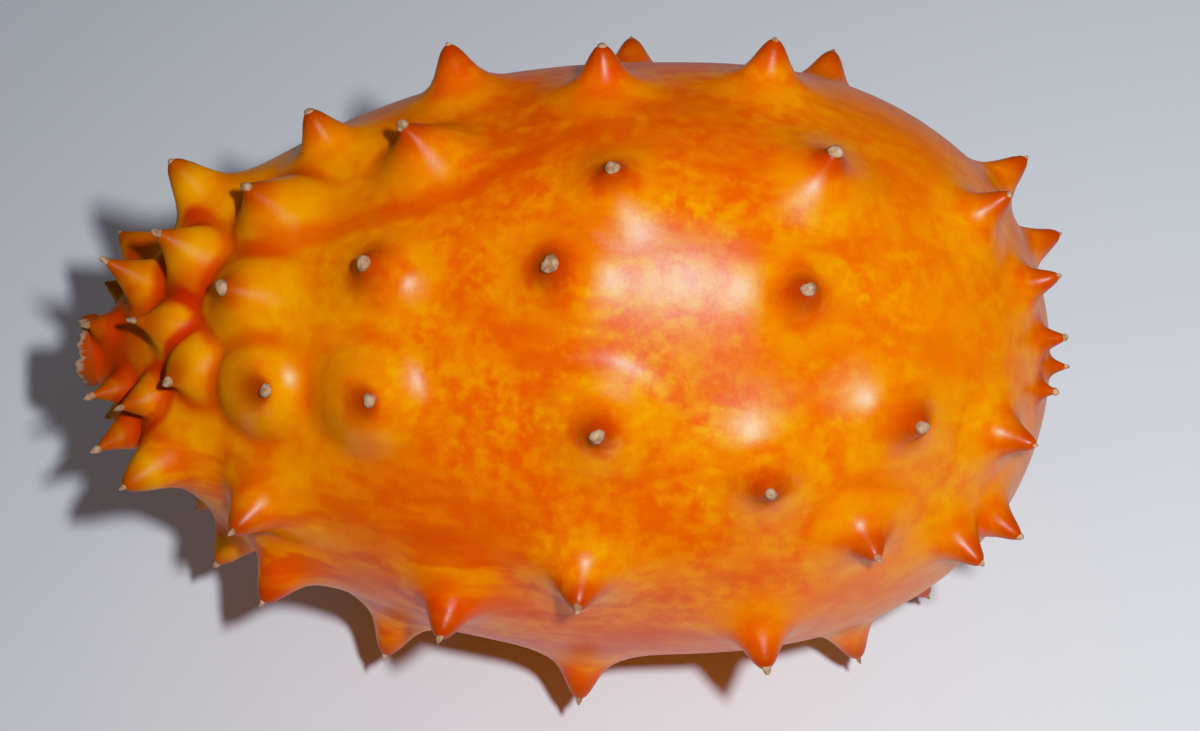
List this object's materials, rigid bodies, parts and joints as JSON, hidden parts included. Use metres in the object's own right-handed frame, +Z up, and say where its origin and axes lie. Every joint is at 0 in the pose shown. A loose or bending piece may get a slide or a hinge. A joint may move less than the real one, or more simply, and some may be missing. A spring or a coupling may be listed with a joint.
{
  "type": "horned melon",
  "caption": "Whole ripe horned melon lying on its side, an oval fruit covered in short conical horns with small pale corky tips, and a torn stalk scar at the narrower end.",
  "frame": {"origin": "On the surface the fruit lies on, under the middle of its overall box.", "axes": "+X along the fruit's axis towards the blossom end, with the stalk scar at -X; +Z up; -Y is the front. The fruit lies level on the worn tips of its lowest horns."},
  "size_m": [0.1176, 0.0818, 0.0834],
  "materials": {
    "rind": "Waxy glossy orange rind, mottled yellow-orange, with darker red-orange horn tips and small pale corky nibs."
  },
  "bodies": {
    "root": {"fruit": "rind"}
  },
  "joints": []
}
